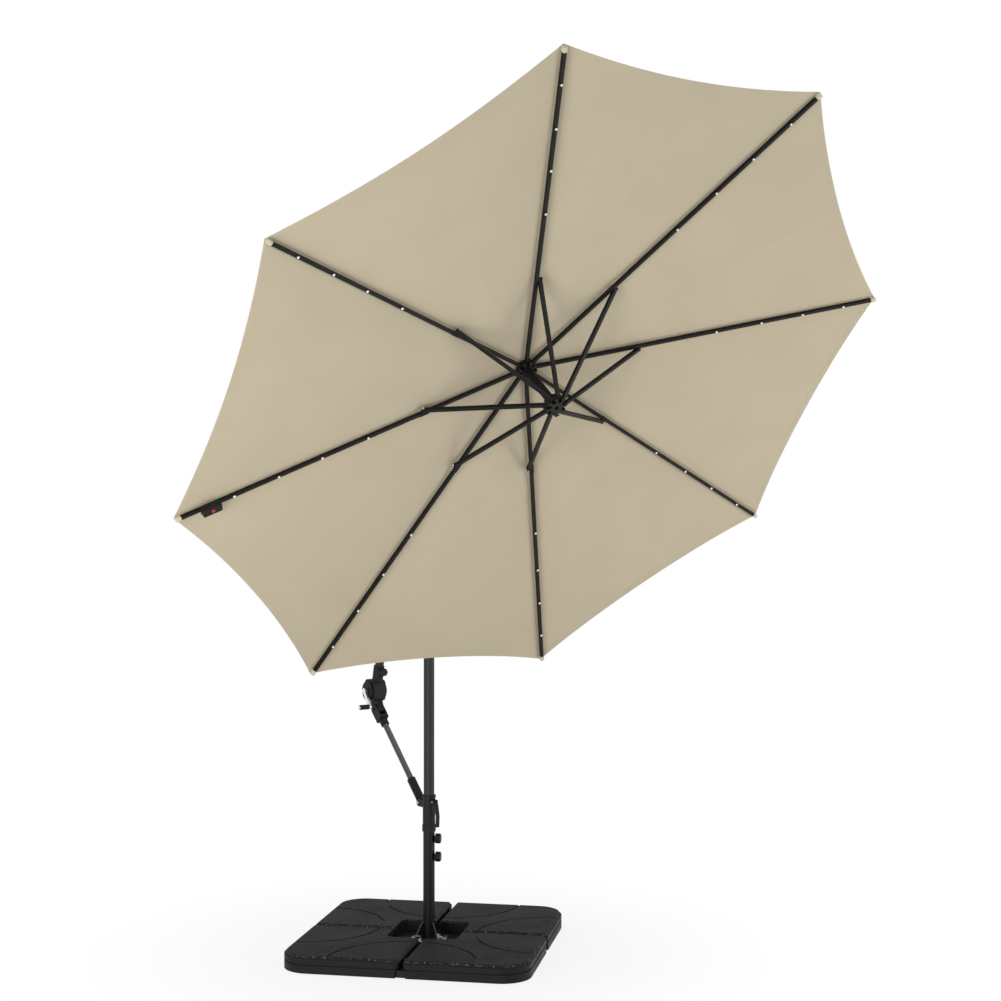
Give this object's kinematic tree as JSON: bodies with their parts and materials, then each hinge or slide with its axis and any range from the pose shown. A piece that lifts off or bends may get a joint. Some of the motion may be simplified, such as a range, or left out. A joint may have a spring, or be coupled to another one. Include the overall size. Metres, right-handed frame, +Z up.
{
  "type": "cantilever patio umbrella",
  "caption": "Offset patio umbrella with tilted eight-sided cloth canopy on a curved boom, crank winch, sliding sleeve and brace, on a square base of weight tanks",
  "frame": {"origin": "on the floor at the centre of the base, on the mast axis", "axes": "+Z up along the mast, boom and brace in the XZ plane, canopy towards +X"},
  "size_m": [2.4141, 2.7716, 3.3573],
  "materials": {
    "tank_plastic": "moulded, satin",
    "cap_plastic": "moulded",
    "base_steel": "powder coated",
    "zinc_steel": "zinc plated",
    "mast_paint": "powder coated",
    "fitting_plastic": "moulded",
    "liner_plastic": "moulded",
    "fitting_metal": "powder coated",
    "crank_silver": "cast, satin",
    "rib_paint": "powder coated",
    "canopy_cloth": "woven polyester",
    "button_red": "moulded",
    "cord_fibre": "braided"
  },
  "bodies": {
    "base": {"cross_bar_long": "base_steel", "cross_bar_short": "base_steel", "mast_foot": "base_steel", "foot_bolts": "zinc_steel", "tank_caps": "cap_plastic", "lower_mast": "mast_paint", "weight_tank_1": "tank_plastic", "weight_tank_2": "tank_plastic", "weight_tank_3": "tank_plastic", "weight_tank_4": "tank_plastic"},
    "mast": {"upper_mast": "mast_paint", "mast_head": "fitting_metal", "head_pin": "zinc_steel"},
    "knob_lower": {"mast_knob_lower": "fitting_plastic"},
    "knob_upper": {"mast_knob_upper": "fitting_plastic"},
    "sleeve": {"sleeve": "fitting_plastic", "sleeve_liner": "liner_plastic", "sleeve_pins": "zinc_steel"},
    "lever": {"release_lever": "fitting_plastic"},
    "brace": {"brace_tube": "mast_paint", "brace_foot": "fitting_plastic", "brace_clevis": "fitting_plastic"},
    "boom": {"boom": "mast_paint", "lift_cord": "cord_fibre", "boom_fork": "fitting_metal", "yoke_pin": "zinc_steel", "winch_housing": "fitting_plastic", "winch_cover": "fitting_plastic"},
    "crank": {"winch_drum": "liner_plastic", "crank_arm": "crank_silver"},
    "grip": {"crank_grip": "fitting_plastic"},
    "boom_lock": {"lock_knob": "fitting_plastic"},
    "yoke": {"levelling_yoke": "fitting_metal", "hang_pin": "zinc_steel"},
    "canopy_head": {"hub": "fitting_plastic", "rib_pins": "zinc_steel", "centre_tube": "rib_paint", "crown_cap": "fitting_plastic", "canopy": "canopy_cloth"},
    "runner": {"runner": "fitting_plastic", "runner_pins": "zinc_steel"},
    "button": {"power_button": "button_red"},
    "rib_1": {"rib_1": "rib_paint"},
    "stretcher_1": {"stretcher_1": "rib_paint"},
    "rib_2": {"rib_2": "rib_paint"},
    "stretcher_2": {"stretcher_2": "rib_paint"},
    "rib_3": {"rib_3": "rib_paint"},
    "stretcher_3": {"stretcher_3": "rib_paint"},
    "rib_4": {"rib_4": "rib_paint"},
    "stretcher_4": {"stretcher_4": "rib_paint"},
    "rib_5": {"rib_5": "rib_paint"},
    "stretcher_5": {"stretcher_5": "rib_paint"},
    "rib_6": {"rib_6": "rib_paint"},
    "stretcher_6": {"stretcher_6": "rib_paint"},
    "rib_7": {"rib_7": "rib_paint", "control_box": "fitting_plastic"},
    "stretcher_7": {"stretcher_7": "rib_paint"},
    "rib_8": {"rib_8": "rib_paint"},
    "stretcher_8": {"stretcher_8": "rib_paint"}
  },
  "joints": [
    {"name": "mast_turn", "type": "hinge", "parent": "base", "child": "mast", "pos_m": [0, 0, 0.4], "axis": [0, 0, 1], "continuous": true},
    {"name": "knob_lower_turn", "type": "hinge", "parent": "base", "child": "knob_lower", "pos_m": [0.01761, 0.01761, 0.379], "axis": [0.7071, 0.7071, 0], "continuous": true},
    {"name": "knob_upper_turn", "type": "hinge", "parent": "base", "child": "knob_upper", "pos_m": [0.01761, 0.01761, 0.456], "axis": [0.7071, 0.7071, 0], "continuous": true},
    {"name": "boom_tilt", "type": "hinge", "parent": "mast", "child": "boom", "pos_m": [0, 0, 2], "axis": [0, 1, 0], "range_deg": [0, 6]},
    {"name": "sleeve_slide", "type": "slide", "parent": "mast", "child": "sleeve", "axis": [0, 0, 1], "range_m": [0, 0.21637]},
    {"name": "brace_swing", "type": "hinge", "parent": "sleeve", "child": "brace", "pos_m": [-0.055, 0, 0.6], "axis": [0, 1, 0], "range_deg": [-21.86, 0]},
    {"name": "yoke_level", "type": "hinge", "parent": "boom", "child": "yoke", "pos_m": [0.56087, 0, 2.52271], "axis": [0, 1, 0], "range_deg": [-6.1, 0]},
    {"name": "lever_squeeze", "type": "hinge", "parent": "sleeve", "child": "lever", "pos_m": [0.045, 0, 0.615], "axis": [0, 1, 0], "range_deg": [0, 12], "stiffness_Nm_per_rad": 1.2, "springref_deg": -5.73},
    {"name": "crank_turn", "type": "hinge", "parent": "boom", "child": "crank", "pos_m": [-0.46, 0, 1.04], "axis": [0, 1, 0], "range_deg": [0, 2708.98]},
    {"name": "grip_spin", "type": "hinge", "parent": "crank", "child": "grip", "pos_m": [-0.41411, 0, 0.97447], "axis": [0, 1, 0], "continuous": true},
    {"name": "boom_lock_turn", "type": "hinge", "parent": "boom", "child": "boom_lock", "pos_m": [-0.42418, 0, 1.12709], "axis": [1, 0, 0], "continuous": true},
    {"name": "canopy_hang", "type": "hinge", "parent": "yoke", "child": "canopy_head", "pos_m": [0.6313, 0, 2.46669], "axis": [0, 1, 0], "range_deg": [0, 51.5], "deforming": ["canopy"]},
    {"name": "runner_slide", "type": "slide", "parent": "canopy_head", "child": "runner", "axis": [0.7826, 0, -0.6225], "range_m": [0, 0.66295]},
    {"name": "rib_1_fold", "type": "hinge", "parent": "canopy_head", "child": "rib_1", "pos_m": [0.73423, -0.01225, 2.42259], "axis": [0.2382, 0.9239, 0.2995], "range_deg": [0, 71.84]},
    {"name": "stretcher_1_fold", "type": "hinge", "parent": "runner", "child": "stretcher_1", "pos_m": [0.92603, 0.00013, 2.27658], "axis": [0.2382, 0.9239, 0.2995], "range_deg": [-58.87, 0]},
    {"name": "rib_2_fold", "type": "hinge", "parent": "canopy_head", "child": "rib_2", "pos_m": [0.73423, 0.01225, 2.42259], "axis": [-0.2382, 0.9239, -0.2995], "range_deg": [0, 71.84]},
    {"name": "stretcher_2_fold", "type": "hinge", "parent": "runner", "child": "stretcher_2", "pos_m": [0.91965, 0.02463, 2.26856], "axis": [-0.2382, 0.9239, -0.2995], "range_deg": [-58.87, 0]},
    {"name": "rib_3_fold", "type": "hinge", "parent": "canopy_head", "child": "rib_3", "pos_m": [0.72345, 0.02956, 2.40904], "axis": [-0.5751, 0.3827, -0.723], "range_deg": [0, 71.84]},
    {"name": "stretcher_3_fold", "type": "hinge", "parent": "runner", "child": "stretcher_3", "pos_m": [0.90435, 0.03469, 2.24933], "axis": [-0.5751, 0.3827, -0.723], "range_deg": [-58.87, 0]},
    {"name": "rib_4_fold", "type": "hinge", "parent": "canopy_head", "child": "rib_4", "pos_m": [0.7082, 0.02956, 2.38987], "axis": [-0.5751, -0.3827, -0.723], "range_deg": [0, 71.84]},
    {"name": "stretcher_4_fold", "type": "hinge", "parent": "runner", "child": "stretcher_4", "pos_m": [0.88911, 0.02444, 2.23016], "axis": [-0.5751, -0.3827, -0.723], "range_deg": [-58.87, 0]},
    {"name": "rib_5_fold", "type": "hinge", "parent": "canopy_head", "child": "rib_5", "pos_m": [0.69742, 0.01225, 2.37632], "axis": [-0.2382, -0.9239, -0.2995], "range_deg": [0, 71.84]},
    {"name": "stretcher_5_fold", "type": "hinge", "parent": "runner", "child": "stretcher_5", "pos_m": [0.88284, -0.00013, 2.22228], "axis": [-0.2382, -0.9239, -0.2995], "range_deg": [-58.87, 0]},
    {"name": "rib_6_fold", "type": "hinge", "parent": "canopy_head", "child": "rib_6", "pos_m": [0.69742, -0.01225, 2.37632], "axis": [0.2382, -0.9239, 0.2995], "range_deg": [0, 71.84]},
    {"name": "stretcher_6_fold", "type": "hinge", "parent": "runner", "child": "stretcher_6", "pos_m": [0.88922, -0.02463, 2.23031], "axis": [0.2382, -0.9239, 0.2995], "range_deg": [-58.87, 0]},
    {"name": "rib_7_fold", "type": "hinge", "parent": "canopy_head", "child": "rib_7", "pos_m": [0.7082, -0.02956, 2.38987], "axis": [0.5751, -0.3827, 0.723], "range_deg": [0, 71.84]},
    {"name": "stretcher_7_fold", "type": "hinge", "parent": "runner", "child": "stretcher_7", "pos_m": [0.90452, -0.03469, 2.24954], "axis": [0.5751, -0.3827, 0.723], "range_deg": [-58.87, 0]},
    {"name": "button_press", "type": "slide", "parent": "rib_7", "child": "button", "axis": [-0.8089, -0.1343, 0.5723], "range_m": [0, 0.002], "stiffness_N_per_m": 900, "springref_m": -0.001},
    {"name": "rib_8_fold", "type": "hinge", "parent": "canopy_head", "child": "rib_8", "pos_m": [0.72345, -0.02956, 2.40904], "axis": [0.5751, 0.3827, 0.723], "range_deg": [0, 71.84]},
    {"name": "stretcher_8_fold", "type": "hinge", "parent": "runner", "child": "stretcher_8", "pos_m": [0.91977, -0.02444, 2.2687], "axis": [0.5751, 0.3827, 0.723], "range_deg": [-58.87, 0]}
  ],
  "couplings": [
    {"joint": "sleeve_slide", "follows": "boom_tilt", "m_per_rad": 2.0471},
    {"joint": "brace_swing", "follows": "boom_tilt", "ratio": -3.6079},
    {"joint": "yoke_level", "follows": "boom_tilt", "ratio": -1},
    {"joint": "crank_turn", "follows": "canopy_hang", "ratio": 52.524},
    {"joint": "runner_slide", "follows": "canopy_hang", "m_per_rad": 0.73534},
    {"joint": "rib_1_fold", "follows": "canopy_hang", "ratio": 1.391},
    {"joint": "stretcher_1_fold", "follows": "canopy_hang", "ratio": -1.1392},
    {"joint": "rib_2_fold", "follows": "canopy_hang", "ratio": 1.391},
    {"joint": "stretcher_2_fold", "follows": "canopy_hang", "ratio": -1.1392},
    {"joint": "rib_3_fold", "follows": "canopy_hang", "ratio": 1.391},
    {"joint": "stretcher_3_fold", "follows": "canopy_hang", "ratio": -1.1392},
    {"joint": "rib_4_fold", "follows": "canopy_hang", "ratio": 1.391},
    {"joint": "stretcher_4_fold", "follows": "canopy_hang", "ratio": -1.1392},
    {"joint": "rib_5_fold", "follows": "canopy_hang", "ratio": 1.391},
    {"joint": "stretcher_5_fold", "follows": "canopy_hang", "ratio": -1.1392},
    {"joint": "rib_6_fold", "follows": "canopy_hang", "ratio": 1.391},
    {"joint": "stretcher_6_fold", "follows": "canopy_hang", "ratio": -1.1392},
    {"joint": "rib_7_fold", "follows": "canopy_hang", "ratio": 1.391},
    {"joint": "stretcher_7_fold", "follows": "canopy_hang", "ratio": -1.1392},
    {"joint": "rib_8_fold", "follows": "canopy_hang", "ratio": 1.391},
    {"joint": "stretcher_8_fold", "follows": "canopy_hang", "ratio": -1.1392}
  ]
}
